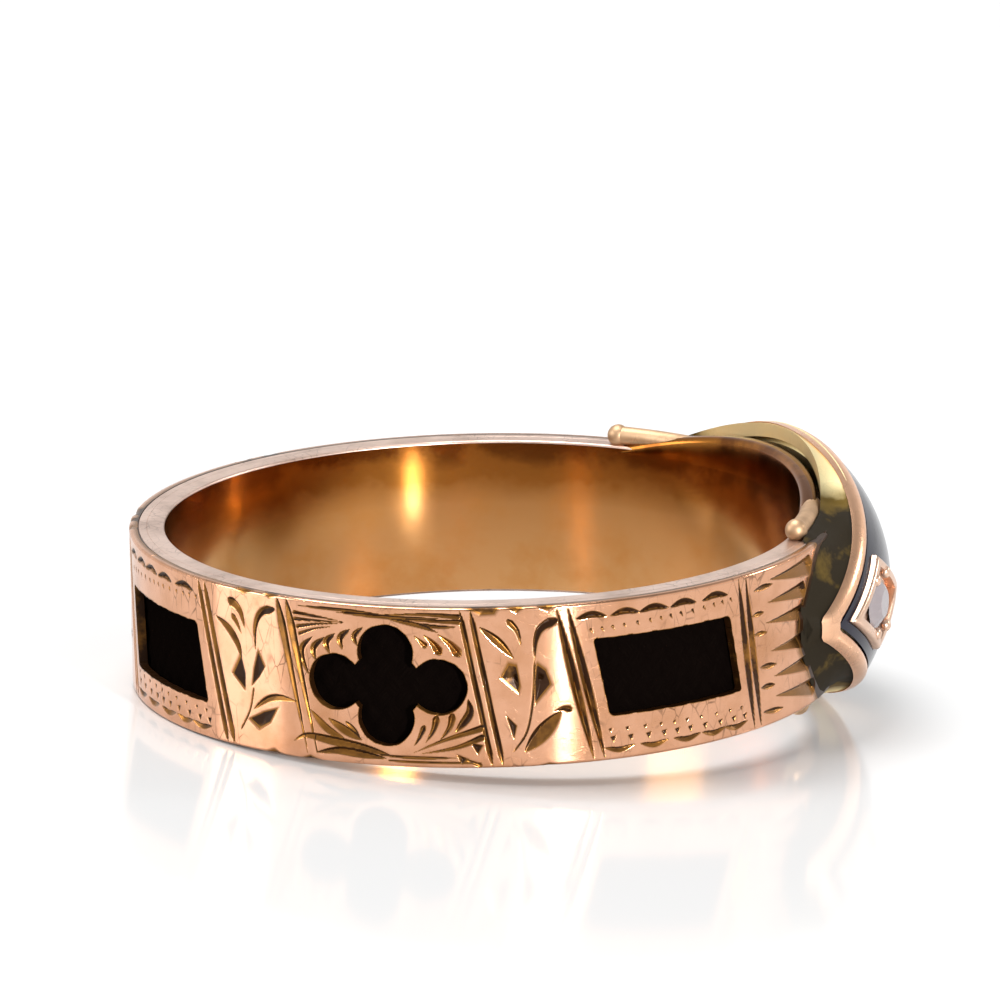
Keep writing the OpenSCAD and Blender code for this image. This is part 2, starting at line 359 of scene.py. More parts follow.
def layOutPanels():
    panels = []
    degreesPerShare = (360 - 2 * band["terminal"]) / sum(row[1] for row in panelRows)
    start = -band["terminal"]
    for row in panelRows:
        panel = dict(zip(panelColumns, row))
        end = start - panel["share"] * degreesPerShare
        panel["middle"] = math.radians((start + end) / 2) * outerR
        panel["width"] = math.radians(start - end) * outerR
        panel["end"] = math.radians(end) * outerR
        panels.append(panel)
        start = end
    return panels


panels = layOutPanels()


def wobble(x, z):
    return opening["wobble"] * (np.sin(7.3 * x + 2.1 * z) + 0.6 * np.sin(17.9 * x - 9.4 * z + 1.3)) / 1.6


# How far a point lies outside an opening, in mm: x and z are measured from the middle of its panel.
def outsideWindow(panel, x, z):
    halfW = panel["width"] / 2 - opening["windowSide"]
    halfH = halfHeight - opening["windowEdge"]
    corner = opening["windowCorner"]
    z = z - panel["rise"]
    across = np.abs(x + lean * z) - halfW + corner
    up = np.abs(z) - halfH + corner
    outside = np.hypot(np.maximum(across, 0), np.maximum(up, 0)) + np.minimum(np.maximum(across, up), 0)
    return outside - corner + wobble(x, z)


def outsideFoil(panel, x, z):
    lobe = opening["lobeR"]
    reach = panel["width"] / 2 - opening["foilSide"] - lobe
    rise = halfHeight - opening["foilEdge"] - lobe
    z = z - panel["rise"]
    outside = np.hypot(x, z) - opening["heartR"]
    for lobeX, lobeZ in ((reach, 0), (0, rise), (-reach, 0), (0, -rise)):
        outside = np.minimum(outside, np.hypot(x - lobeX, z - lobeZ) - lobe)
    return outside + wobble(x, z)


outsideOpening = {"window": outsideWindow, "quatrefoil": outsideFoil}

# The graver's cuts. A stroke has a shape, a width in mm as its size, the place across it where it is deepest
# (-1 to 1), and the points that it runs through, from the panel's middle and from mid height. A facet is a pit with
# flat sides: its depth as its size, its deepest point and its outline. A cut that isn't fully dark ends with its
# darkness. The tables give points in hundredths of a mm.
cutColumns = ("shape", "size", "deepest", "path", "dark")


def inMm(rows):
    cuts = []
    for shape, size, deepest, path, *dark in rows:
        if shape == "facet":
            deepest = (deepest[0] / 100, deepest[1] / 100)
        cuts.append((shape, size, deepest, [(x / 100, z / 100) for x, z in path], *dark))
    return cuts


flowersOpenCuts = inMm([
    ("leaf", 0.26, 0.3, [(-142, 176), (-91, 132), (-48, 84)]),
    ("drop", 0.21, 0.2, [(-66, 195), (-38, 162), (-27, 118)]),
    ("drop", 0.30, -0.4, [(77, 188), (33, 170), (14, 134), (10, 78)]),
    ("line", 0.07, 0.0, [(10, 80), (3, -37), (-15, -127), (-54, -185)]),
    ("leaf", 0.50, 0.5, [(-21, -184), (30, -132), (82, -74)]),
    ("drop", 0.21, 0.0, [(112, -72), (90, -66), (62, -72)]),
    ("line", 0.05, 0.0, [(-5, -172), (25, -122), (50, -98)], 0.533),
    ("facet", 0.09, (-50, 26), [(-67, 82), (-93, 30), (-33, -25), (-26, 0), (-38, 74)]),
    ("facet", 0.20, (-42, 26), [(-76, 34), (-42, 48), (-33, -8), (-45, 14)]),
    ("facet", 0.09, (24, 8), [(14, 82), (44, 56), (62, 4), (7, -60), (5, 10)]),
    ("facet", 0.20, (27, 26), [(17, 47), (40, 32), (37, 12), (15, 14)]),
    ("facet", 0.06, (-53, -108), [(-74, -72), (-40, -108), (-50, -154)]),
    # worn chips that run out over the band's edges
    ("facet", 0.12, (-120, 234), [(-192, 229), (-142, 204), (-95, 206), (-76, 236), (-130, 250)], 0.78),
    ("facet", 0.10, (-38, 234), [(-72, 229), (-38, 208), (-10, 230), (-40, 250)], 0.78),
    ("facet", 0.09, (45, 234), [(10, 229), (48, 210), (80, 230), (40, 250)], 0.65),
    ("facet", 0.08, (46, -232), [(-5, -229), (46, -216), (98, -229), (40, -250)], 0.78),
])
flowersClosedCuts = inMm([
    ("drop", 0.30, 0.2, [(-94, 192), (-50, 167), (-29, 116)]),
    ("drop", 0.18, 0.1, [(-80, 150), (-60, 128), (-43, 99)]),
    ("leaf", 0.24, 0.2, [(-144, 134), (-95, 108), (-60, 70), (-44, 28)]),
    ("drop", 0.27, -0.3, [(79, 188), (30, 171), (8, 125), (9, 62)]),
    ("line", 0.06, 0.0, [(0, -45), (-17, -116), (-54, -180)]),
    ("leaf", 0.21, 0.3, [(-3, -110), (45, -76), (90, -64), (148, -68)]),
    ("facet", 0.09, (-40, -32), [(-50, 52), (-89, -16), (-32, -66), (-31, -10)]),
    ("facet", 0.08, (10, -5), [(18, 74), (46, 22), (22, -15), (-11, -50), (-2, 8)]),
    ("facet", 0.10, (28, -132), [(-30, -142), (34, -108), (92, -88), (61, -141), (14, -172)]),
    # worn chips that run out over the band's edges
    ("facet", 0.08, (-30, 234), [(-80, 229), (-36, 212), (10, 229), (-30, 250)], 0.78),
    ("facet", 0.07, (62, 234), [(30, 229), (60, 214), (95, 229), (60, 250)], 0.78),
    ("facet", 0.10, (70, -234), [(20, -229), (66, -210), (110, -229), (70, -250)], 0.91),
])
quatrefoilCuts = inMm([
    ("leaf", 0.11, 0.0, [(-260, 209), (-110, 210), (10, 203)]),
    ("leaf", 0.13, 0.0, [(-147, 203), (10, 199), (160, 199)]),
    ("wedge", 0.16, 0.2, [(-20, 205), (110, 210), (205, 205)]),
    ("wedge", 0.15, 0.2, [(0, 197), (110, 193), (208, 190)]),
    ("leaf", 0.15, 0.2, [(10, 194), (90, 180), (150, 160)]),
    ("leaf", 0.12, 0.2, [(80, 186), (145, 176), (202, 176)]),
    ("wedge", 0.13, 0.2, [(-116, 176), (-195, 184), (-272, 188)]),
    ("wedge", 0.13, 0.2, [(-116, 175), (-195, 173), (-270, 170)]),
    ("wedge", 0.13, 0.2, [(-120, 173), (-195, 164), (-262, 150)]),
    ("wedge", 0.12, 0.2, [(-150, 161), (-205, 150), (-256, 130)]),
    ("leaf", 0.20, -0.3, [(-215, 126), (-248, 94), (-250, 60), (-229, 15)]),
    ("leaf", 0.21, -0.3, [(-180, 127), (-214, 93), (-206, 56)]),
    ("leaf", 0.21, -0.3, [(-146, 141), (-174, 114), (-162, 81)]),
    ("leaf", 0.21, -0.3, [(-101, 157), (-131, 130), (-124, 96)]),
    ("leaf", 0.18, -0.3, [(-63, 166), (-89, 139), (-80, 111)]),
    ("drop", 0.20, 0.3, [(120, 117), (102, 133), (83, 150)], 0.793),
    ("drop", 0.30, 0.3, [(158, 97), (137, 128), (108, 154)], 0.793),
    ("drop", 0.32, 0.3, [(212, 92), (186, 126), (148, 156)], 0.793),
    ("leaf", 0.24, 0.3, [(-227, -84), (-179, -132), (-117, -163)]),
    ("leaf", 0.27, 0.3, [(-172, -103), (-122, -133), (-70, -158)]),
    ("leaf", 0.17, 0.3, [(-120, -106), (-98, -128), (-76, -152)]),
    ("leaf", 0.29, 0.2, [(-282, -180), (-240, -160), (-167, -166), (-60, -180), (18, -198)]),
    ("leaf", 0.27, 0.2, [(-210, -205), (-144, -193), (-80, -197), (0, -205)]),
    ("leaf", 0.10, 0.0, [(-30, -196), (90, -199), (200, -197)]),
    ("line", 0.07, 0.0, [(0, -210), (140, -212), (266, -212)]),
    ("drop", 0.18, -0.2, [(109, -105), (95, -138), (77, -167)]),
    ("drop", 0.24, -0.2, [(144, -76), (133, -118), (111, -155)]),
    ("drop", 0.24, -0.2, [(188, -69), (178, -110), (150, -148)]),
    ("leaf", 0.27, -0.2, [(230, -28), (233, -72), (193, -125)]),
    ("wedge", 0.21, 0.2, [(74, -186), (160, -148), (266, -113)]),
    ("wedge", 0.20, 0.2, [(94, -188), (195, -168), (266, -140)]),
    ("wedge", 0.15, 0.0, [(190, -189), (260, -219)]),
    ("facet", 0.10, (252, -170), [(232, -150), (274, -160), (256, -192)]),
    ("facet", 0.09, (212, -202), [(194, -184), (232, -200), (210, -220)]),
    # worn chips that run out over the band's edges
    ("facet", 0.09, (-230, -234), [(-275, -229), (-230, -212), (-185, -229), (-230, -250)], 0.91),
])
terminalCuts = inMm([
    ("wedge", 0.62, 0.4, [(86, 192), (190, 186), (310, 180)], 0.884),
    ("wedge", 0.50, 0.4, [(76, 128), (160, 126), (270, 120)], 0.884),
    ("wedge", 0.46, 0.4, [(70, 71), (160, 66), (260, 58)], 0.884),
    ("wedge", 0.50, 0.4, [(92, -14), (175, -18), (270, -22)], 0.884),
    ("wedge", 0.52, 0.4, [(106, -90), (190, -92), (295, -96)], 0.884),
    ("wedge", 0.55, 0.4, [(114, -149), (210, -160), (330, -176)], 0.884),
    ("leaf", 0.17, 0.0, [(17, 174), (60, 177), (104, 177)]),
    ("leaf", 0.16, 0.0, [(10, 103), (36, 105), (62, 105)]),
    ("leaf", 0.16, 0.0, [(17, 47), (46, 47), (76, 44)]),
    ("leaf", 0.18, 0.0, [(42, -51), (80, -54), (120, -57)]),
    ("leaf", 0.18, 0.0, [(46, -111), (78, -112), (112, -114)]),
    ("leaf", 0.17, 0.0, [(54, -183), (100, -188), (152, -191)]),
])

# Rows of small cuts above and below a window: half-moons along the band's edge, and ticks and punch marks beside the
# window. Each row runs from its first x to its last, in mm, and climbs by a share of that.
windowRows = {
    "halfMoons": {
        "first": -2.60, "last": 1.50, "count": 5, "long": 0.93, "z": 1.90, "arch": 0.05, "width": 0.21},
    "halfMoonsBelow": {
        "first": -1.60, "last": 2.25, "count": 5, "long": 0.92, "z": -1.95, "arch": -0.05, "width": 0.17},
    "ticks": {"first": -2.55, "last": 2.10, "count": 14, "z": 1.48, "climb": 0.045, "size": 0.14},
    "punches": {"first": -1.93, "last": 2.40, "count": 10, "z": -1.41, "climb": -0.02, "size": 0.13},
    "punchesBelow": {"first": -1.85, "last": 2.55, "count": 10, "z": -1.67, "climb": -0.02, "size": 0.20},
}


def spaced(row):
    step = (row["last"] - row["first"]) / (row["count"] - 1)
    for n in range(row["count"]):
        jitter = 0.12 * step * math.sin(5.1 * n + row["z"])
        yield n, row["first"] + n * step + jitter


def windowCuts():
    cuts = []
    for name in ("halfMoons", "halfMoonsBelow"):
        row = windowRows[name]
        high, low = row["z"] + row["arch"], row["z"] - row["arch"]
        for n, x in spaced(row):
            half = row["long"] / 2 * (1 + 0.08 * math.sin(3.3 * n))
            deepest = -math.copysign(0.5, row["arch"])
            cuts.append(("leaf", row["width"], deepest, [(x - half, low), (x, high), (x + half, low)]))
    for name in ("ticks", "punches", "punchesBelow"):
        row = windowRows[name]
        size = row["size"]
        for n, x in spaced(row):
            z = row["z"] + row["climb"] * (x - row["first"])
            if name == "ticks":
                cuts.append(("drop", 0.09, 0.0, [(x - 0.03, z + size / 2), (x + 0.05, z - size / 2)]))
                continue
            corners = [(x + size * right, z + size * up) for right, up in ((-0.5, 0.35), (0.5, 0.5), (0.1, -0.6))]
            cuts.append(("facet", 0.05, (x + 0.1 * size, z + 0.1 * size), corners))
    return cuts


panelCuts = {
    "window": windowCuts(),
    "flowersOpen": flowersOpenCuts,
    "quatrefoil": quatrefoilCuts,
    "flowersClosed": flowersClosedCuts,
}

# The dividing lines, one pair at each end of a panel: slant in degrees, distance between the two, width and taper.
dividerColumns = ("slant", "gap", "width", "shape")
dividerRows = [
    (8, 0.29, 0.27, "leaf"),
    (13, 0.32, 0.28, "leaf"),
    (10.8, 0.29, 0.17, "line"),
    (12, 0.31, 0.28, "drop"),
    (14.5, 0.27, 0.19, "line"),
    (12, 0.28, 0.18, "line"),
    (12, 0.30, 0.24, "drop"),
    (11, 0.29, 0.17, "line"),
    (12, 0.31, 0.26, "leaf"),
    (9, 0.29, 0.24, "leaf"),
]


def dividerCuts(row):
    divider = dict(zip(dividerColumns, row))
    reach = halfHeight - 0.06
    shift = reach * math.tan(math.radians(divider["slant"]))
    cuts = []
    for side in (-0.5, 0.5):
        middle = side * divider["gap"]
        path = [(middle - shift, reach), (middle, 0), (middle + shift, -reach)]
        cuts.append((divider["shape"], divider["width"], 0.0, path))
    return cuts


def curveThrough(path, steps=6):
    points = np.array(path, float)
    if len(points) == 2:
        return points
    before = np.vstack([2 * points[0] - points[1], points[:-2]])
    after = np.vstack([points[2:], 2 * points[-1] - points[-2]])
    share = np.linspace(0, 1, steps, endpoint=False)[:, None]
    runs = []
    for a, b, c, d in zip(before, points[:-1], points[1:], after):
        runs.append(0.5 * (2 * b + (c - a) * share + (2 * a - 5 * b + 4 * c - d) * share ** 2
                           + (3 * b - a - 3 * c + d) * share ** 3))
    return np.vstack(runs + [points[-1:]])


# The width of a stroke along its length, from 0 to 1.
strokeShapes = {
    "leaf": lambda t: np.sin(np.pi * np.clip(t, 0, 1)) ** 0.75,
    "drop": lambda t: np.minimum(np.sqrt(np.clip(t, 0, 1) / 0.16), 1) * (1 - np.clip((t - 0.16) / 0.84, 0, 1)) ** 0.8,
    "wedge": lambda t: np.clip(t, 0, 1) ** 0.9,
    "line": lambda t: np.minimum(1, np.minimum(t, 1 - t) / 0.08).clip(0, 1) ** 0.7,
}
graver = {
    "steep": 0.45, "deepest": 0.13,     # depth of a stroke as a share of its width, and the most it may be in mm
    "litSide": 0.75,                    # darkness of a stroke's lit side
    "strokeFade": 6, "facetFade": 3,    # how quickly the dark sets in from a cut's edge
    "grimeReach": 0.4,                  # how far the painted shade beside the head reaches out on the band
}


def strokeDepth(cut, x, z):
    line = curveThrough(cut["path"])
    lengths = np.hypot(*np.diff(line, axis=0).T)
    ends = np.concatenate([[0], np.cumsum(lengths)]) / lengths.sum()
    nearest = np.full(len(x), np.inf)
    along = np.zeros(len(x))
    side = np.ones(len(x))
    for a, b, length, t0, t1 in zip(line[:-1], line[1:], lengths, ends[:-1], ends[1:]):
        run = (b - a) / length
        t = np.clip((x - a[0]) * run[0] + (z - a[1]) * run[1], 0, length)
        offX = x - a[0] - t * run[0]
        offZ = z - a[1] - t * run[1]
        distance = np.hypot(offX, offZ)
        closer = distance < nearest
        nearest = np.where(closer, distance, nearest)
        along = np.where(closer, t0 + (t1 - t0) * t / length, along)
        side = np.where(closer, np.sign(run[0] * offZ - run[1] * offX), side)
    swell = strokeShapes[cut["shape"]](along)
    across = side * nearest / np.maximum(swell * cut["size"] / 2, 1e-6)
    deepest = cut["deepest"]
    fall = np.where(across < deepest, (across + 1) / (deepest + 1), (1 - across) / (1 - deepest)).clip(0, 1)
    # Painted shade: past its deepest line a stroke is darker than on its lit side.
    shade = np.where(across > deepest, 1.0, graver["litSide"]) * np.clip(fall * graver["strokeFade"], 0, 1)
    return np.minimum(graver["steep"] * cut["size"], graver["deepest"]) * swell * fall, shade


def facetDepth(cut, x, z):
    outline = np.array(cut["path"], float)
    deepX, deepZ = cut["deepest"]
    share = np.ones(len(x))
    for a, b in zip(outline, np.roll(outline, -1, axis=0)):
        run = b - a
        here = run[0] * (z - a[1]) - run[1] * (x - a[0])
        there = run[0] * (deepZ - a[1]) - run[1] * (deepX - a[0])
        share = np.minimum(share, here / there)
    share = np.clip(share, 0, 1)
    return cut["size"] * share, np.clip(share * graver["facetFade"], 0, 1)


# Where the foot of the head's wall lies on the band: a place along the almond's outline, and the foot's y and z there.
footRows = [
    (4.8, 4.8, 2.58), (5.4, 5.6, 2.55), (6.0, 6.4, 2.45), (6.4, 6.8, 2.28), (6.9, 7.1, 1.8), (7.4, 7.4, 1.1),
    (7.8, 7.65, 0.55), (8.0, 7.75, 0.0),
]


# The depth and the darkness of all the graver's cuts at places on the unrolled band, with painted shade beside the
# head.
def engraved(arc, z):
    depth = np.zeros(len(arc))
    dark = np.zeros(len(arc))

    def carve(rows, middle, flip=1):
        for row in rows:
            cut = dict(zip(cutColumns, row))
            path = np.array(cut["path"])
            room = cut["size"] / 2 + 0.02
            x = (arc - middle) * flip
            near = (x > path[:, 0].min() - room) & (x < path[:, 0].max() + room)
            near &= (z > path[:, 1].min() - room) & (z < path[:, 1].max() + room)
            if not near.any():
                continue
            find = facetDepth if cut["shape"] == "facet" else strokeDepth
            found, shade = find(cut, x[near], z[near])
            depth[near] = np.maximum(depth[near], found)
            dark[near] = np.maximum(dark[near], cut.get("dark", 1) * shade)

    for panel in panels:
        carve(panelCuts[panel["kind"]], panel["middle"])
    edges = [math.radians(-band["terminal"]) * outerR] + [panel["end"] for panel in panels]
    for row, edge in zip(dividerRows, edges):
        carve(dividerCuts(row), edge)
    carve(terminalCuts, edges[0])
    carve(terminalCuts, edges[-1], -1)

    # Painted shade lies on the band beside the foot of the head.
    footY, footZ = np.array(footRows[::-1]).T[1:]
    footShadeArc = np.arcsin(np.interp(np.abs(z), footZ, footY) / outerR) * outerR + graver["grimeReach"]
    away = np.minimum(np.abs(arc), math.tau * outerR - np.abs(arc))
    return depth, np.maximum(dark, np.clip((footShadeArc - away) / graver["grimeReach"], 0, 1))


sleeve = {
    "edgeR": 0.08,         # roundness of the outer edges
    "innerStep": 1.0,      # spacing of the plain inner face's divisions
    "left": 0.04,          # gold left under the deepest cuts
    "sawnTone": 0.95,      # painted shade on an opening's sawn edge
}
# Each sector of the sleeve: its name, the angles from the head between which it lies, and the size of its cells.
coarse = 1
sectorRows = [
    ("sleeveNearHead", -34, -97.6, 0.023 * coarse),
    ("sleeveFront", -97.6, -144.1, 0.023 * coarse),
    ("sleeveNearSide", -144.1, -179, 0.024 * coarse),
    ("sleeveFarSide", -179, -244.3, 0.04 * coarse),
    ("sleeveFarHead", -244.3, -326, 0.04 * coarse),
    ("sleeveUnderHead", 34, -34, 0.25),
]


def pierce(bm, cell):
    for panel in panels:
        if panel["kind"] not in outsideOpening:
            continue

        def outside(x, z, panel=panel):
            return outsideOpening[panel["kind"]](panel, x - panel["middle"], z)

        centres = np.array([face.calc_center_median()[:2] for face in bm.faces])
        inside = outside(centres[:, 0], centres[:, 1]) < 0
        if not inside.any():
            continue
        holed = [face for face, gone in zip(bm.faces, inside) if gone]
        bmesh.ops.delete(bm, geom=holed, context="FACES")
        rim = {vert for edge in bm.edges if edge.is_boundary for vert in edge.verts}
        rim = [vert for vert in rim if abs(outside(vert.co.x, vert.co.y)) < 2 * cell]
        for vert in rim:
            for nudge in range(3):
                step = 1e-3
                here = outside(vert.co.x, vert.co.y)
                slopeX = (outside(vert.co.x + step, vert.co.y) - here) / step
                slopeZ = (outside(vert.co.x, vert.co.y + step) - here) / step
                steep = max(slopeX ** 2 + slopeZ ** 2, 0.2)
                vert.co.x -= here * slopeX / steep
                vert.co.y -= here * slopeZ / steep


# A sector of the sleeve is made flat, with x along the band, y up it and z out of it, and is then rolled up.
def makeSector(name, start, end, cell):
    arcStart, arcEnd = math.radians(end) * outerR, math.radians(start) * outerR
    flatHalf = halfHeight - sleeve["edgeR"]
    pathHalf = flatHalf + sleeve["edgeR"] * math.pi / 2
    columns, rows = round((arcEnd - arcStart) / cell), round(2 * pathHalf / cell)
    bm = bmesh.new()
    bmesh.ops.create_grid(bm, x_segments=columns, y_segments=rows, size=0.5)
    flat = numpyPlaces(bm)
    path = 2 * pathHalf * flat[:, 1]
    turn = np.clip((np.abs(path) - flatHalf) / sleeve["edgeR"], 0, math.pi / 2)
    z = np.sign(path) * np.where(turn > 0, flatHalf + sleeve["edgeR"] * np.sin(turn), np.abs(path))
    arc = arcStart + (flat[:, 0] + 0.5) * (arcEnd - arcStart) - lean * z
    setPlaces(bm, np.stack([arc, z, -sleeve["edgeR"] * (1 - np.cos(turn))], -1))
    pierce(bm, cell)

    # The relief goes into the face, and the sawn edges get painted shade.
    places = numpyPlaces(bm)
    depth, dark = engraved(places[:, 0], places[:, 1])
    places[:, 2] -= np.minimum(depth, band["wall"] - sleeve["left"])
    setPlaces(bm, places)
    tone = bm.verts.layers.float.new("cut")
    arcMiddle, halfSpan = (arcStart + arcEnd) / 2, (arcEnd - arcStart) / 2 - 0.01
    for vert, value in zip(bm.verts, dark):
        along = abs(vert.co.x + lean * vert.co.y - arcMiddle)
        sawn = vert.is_boundary and abs(vert.co.y) < halfHeight - 0.3 and along < halfSpan
        vert[tone] = sleeve["sawnTone"] if sawn else value

    # The edges run in to the inner face, which is filled and divided so that it can be rolled.
    walls = bmesh.ops.extrude_edge_only(bm, edges=[edge for edge in bm.edges if edge.is_boundary])["geom"]
    innerVerts = {item for item in walls if isinstance(item, bmesh.types.BMVert)}
    for vert in innerVerts:
        vert.co.z = -band["wall"]
        # Painted shade: the walls darken towards the inner face, which is fully dark.
        vert[tone] = 1.0
    innerEdges = [edge for edge in bm.edges if edge.is_boundary and innerVerts.issuperset(edge.verts)]
    bmesh.ops.triangle_fill(bm, edges=innerEdges, use_beauty=True, use_dissolve=False)

    def onInner(vert):
        return vert.co.z < -band["wall"] + 1e-4

    for edge in bm.edges:
        level = onInner(edge.verts[0]) == onInner(edge.verts[1])
        corner = len(edge.link_faces) == 2 and abs(edge.link_faces[0].normal.dot(edge.link_faces[1].normal)) < 0.4
        edge.smooth = not (corner and level)
    arcStep = arcStart - 2
    while arcStep < arcEnd + 2:
        faces = [face for face in bm.faces if all(onInner(vert) for vert in face.verts)]
        geom = list({item for face in faces for item in (face, *face.edges, *face.verts)})
        bmesh.ops.bisect_plane(bm, geom=geom, dist=1e-4, plane_co=(arcStep, 0, 0), plane_no=(1, 0, 0))
        arcStep += sleeve["innerStep"]
    faceOut(bm)

    places = numpyPlaces(bm)
    angle = places[:, 0] / outerR
    radius = outerR + places[:, 2]
    setPlaces(bm, np.stack([radius * np.cos(angle), radius * np.sin(angle), places[:, 1]], -1))
    finishPiece(bm, name, sleeveGold, sharpAngle=None)


for row in sectorRows:
    makeSector(*row)
    print("engraved", row[0])


# The liner and the band's two rims are turned.
liner = {
    "edgeR": 0.07,         # roundness at the finger hole
    "seam": 0.024,         # width of the fine turned line on a rim
    "line": 9.5,           # its radius
    "lip": 0.03,           # bevel at the sleeve
    "gap": 0.005,          # clearance at the sleeve
    "toneFrom": 0.4,       # painted shade darkens the liner from the top down to this far below the middle
    # the height over which that painted shade fades in, and its full strength
    "toneSpan": 2.6, "tone": 0.95,
    "steps": 256,
}


def makeTurned(name, profile, material):
    bm = bmesh.new()
    verts = [bm.verts.new((r, 0, z)) for r, z in profile]
    edges = [bm.edges.new(pair) for pair in zip(verts, verts[1:] + verts[:1])]
    bmesh.ops.spin(
        bm, geom=verts + edges, cent=(0, 0, 0), axis=(0, 0, 1), angle=math.tau, steps=liner["steps"], use_merge=True)
    bmesh.ops.remove_doubles(bm, verts=bm.verts, dist=1e-5)
    faceOut(bm)
    # Painted shade: darker towards the top, which only the liner's gold shows.
    setPaintedShade(bm, lambda place: liner["tone"] * min(max((place.z + liner["toneFrom"]) / liner["toneSpan"], 0), 1))
    finishPiece(bm, name, material, sharpAngle=35)


def rimProfile(side):
    edge, half, line = liner["edgeR"], liner["seam"] / 2, liner["line"]
    outR, low = channelOutR - liner["gap"], halfHeight - band["rim"]
    turns = [math.radians(22.5 * n) for n in range(5)]
    rows = [(fingerR + edge - edge * math.cos(turn), halfHeight - edge + edge * math.sin(turn)) for turn in turns]
    rows += [(line - half, halfHeight), (line, halfHeight - half), (line + half, halfHeight)]
    rows += [(channelOutR - liner["lip"], halfHeight), (outR, halfHeight - liner["lip"])]
    rows += [(outR, low), (channelInR, low), (channelInR, halfHeight - edge)]
    return [(r, side * z) for r, z in rows]


linerHalf = halfHeight - liner["edgeR"]
makeTurned("bandLiner", [
    (fingerR, linerHalf), (channelInR, linerHalf), (channelInR, -linerHalf), (fingerR, -linerHalf),
    (fingerR, liner["toneFrom"])], linerGold)
makeTurned("rimTop", rimProfile(1), rimGold)
makeTurned("rimBottom", rimProfile(-1), rimGold)
print("liner turned")

# The hair: flat locks woven over and under each other, in a strip that fills the channel.
hair = {
    "gap": 0.05,           # clearance in the channel
    "cell": 0.08,
    "lock": 0.52,          # width of a lock
    "angle": 52,           # of the locks, in degrees from the strip's length
    "relief": 0.09,
}


def woven(x, z):
    c, s = math.cos(math.radians(hair["angle"])), math.sin(math.radians(hair["angle"]))
    first, second = (x * s + z * c) / hair["lock"], (x * s - z * c) / hair["lock"]
    heights = []
    for across, along, turn in ((first, second, 0), (second, first, 1)):
        crown = np.sqrt(np.clip(1 - (2 * (across % 1) - 1) ** 2, 0, 1))
        sway = np.cos(np.pi * (along - 0.5) + np.pi * (np.floor(across) + turn))
        heights.append(crown * (0.55 + 0.45 * sway))
    over = heights[0] > heights[1]
    return np.maximum(*heights), np.where(over, first, second), np.where(over, second, first)


def makeHairStrip():
    innerR, strandR = channelInR + hair["gap"], channelOutR - hair["gap"]
    half = halfHeight - band["rim"] - hair["gap"]
    columns = round(math.tau * strandR / hair["cell"])
    rows = round(2 * half / hair["cell"])

    # Round the strip's section: up the woven face, and from its top down the plain inner side.
    def wrap(u, v):
        n = v * (rows + 2)
        onFace = n < rows + 0.5
        z = np.where(onFace, 2 * n / rows - 1, np.where(n < rows + 1.5, 1, -1)) * half
        r = np.where(onFace, strandR - hair["relief"] * (1 - woven(u * math.tau * strandR, z)[0]), innerR)
        return r * np.cos(u * math.tau), r * np.sin(u * math.tau), z

    bm = bentGrid(columns, rows + 2, wrap)
    bmesh.ops.remove_doubles(bm, verts=bm.verts, dist=1e-4)
    bmesh.ops.bridge_loops(bm, edges=[edge for edge in bm.edges if edge.is_boundary])
    faceOut(bm)
    places = numpyPlaces(bm)
    strands = bm.loops.layers.uv.new("strands")
    angle = np.arctan2(places[:, 1], places[:, 0]) % math.tau
    across, along = woven(angle * strandR, places[:, 2])[1:]
    bm.verts.index_update()
    for face in bm.faces:
        for loop in face.loops:
            n = loop.vert.index
            loop[strands].uv = (across[n], along[n])
    finishPiece(bm, "wovenHairStrip", hairMaterial, None, "hair_strip")


makeHairStrip()
print("hair woven")

# The wires on the band's edges beside the head, each with a ball at its end. They run between two angles.
wire = {"thick": 0.54, "ball": 0.64, "inset": 0.3, "from": 24, "to": 41.5, "sink": 0.02}

# The head: a pointed almond box with a gold rim, domed enamel, and three lozenge settings.
head = {
    "long": 16.0, "wide": 7.5, "rise": 1.85,
    "alongR": 8.9, "acrossR": 4.65,      # radii of the crown, from tip to tip and from side to side
    "skirt": 0.4, "wall": 0.4, "rim": 0.28,
    "plate": 0.3, "enamel": 0.3, "enamelGap": 0.03,
    "backWide": 6.5, "backEnd": 40,
    "bluntTip": 7.74,                    # where the rim's points are rounded off
    "grimeTop": 1.3, "grimeFade": 0.75,  # how high the wall's painted shade reaches, and the height over which it fades
    "grimeFrom": 3.4, "grimeEnds": 5.0,  # from where along the wall it thickens, and where it is full
    # the least painted shade along the middle of the wall, and the painted shade on the head's back
    "leastGrime": 0.1, "backTone": 0.8,
}
setting = {
    "long": 4.4, "wide": 2.75,
    "margin": 0.72,                      # from the head's tips to the end settings
    "stone": 1.6, "seat": 0.74, "grain": 0.36, "grainLift": 0.04,
}
planR = ((head["long"] / 2) ** 2 + (head["wide"] / 2) ** 2) / head["wide"]
planShift = planR - head["wide"] / 2
settingL, settingW = setting["long"] / 2, setting["wide"] / 2
crownTopR = outerR + head["rise"]
crownCentre = crownTopR - head["alongR"]


# The crown's level at a place in plan, from its own middle, raised by a lift.
def crownLevel(y, z, lift=0.0):
    reach = head["alongR"] - head["acrossR"] + np.sqrt(np.maximum((head["acrossR"] + lift) ** 2 - z * z, 0))
    return np.sqrt(np.maximum(reach * reach - y * y, 0))


# A place on the almond's outline, drawn in by an inset; u runs once round it from tip to tip and back.
def almondOutline(u, inset):
    side = np.where(u < 0.5, 1, -1)
    share = np.where(u < 0.5, 2 * u, 2 - 2 * u)
    tip = np.arccos(np.clip(planShift / (planR - inset), -1, 1))
    turn = (2 * share - 1) * tip
    blunt = head["bluntTip"] - 0.65 * inset
    return np.clip((planR - inset) * np.sin(turn), -blunt, blunt), side * ((planR - inset) * np.cos(turn) - planShift)


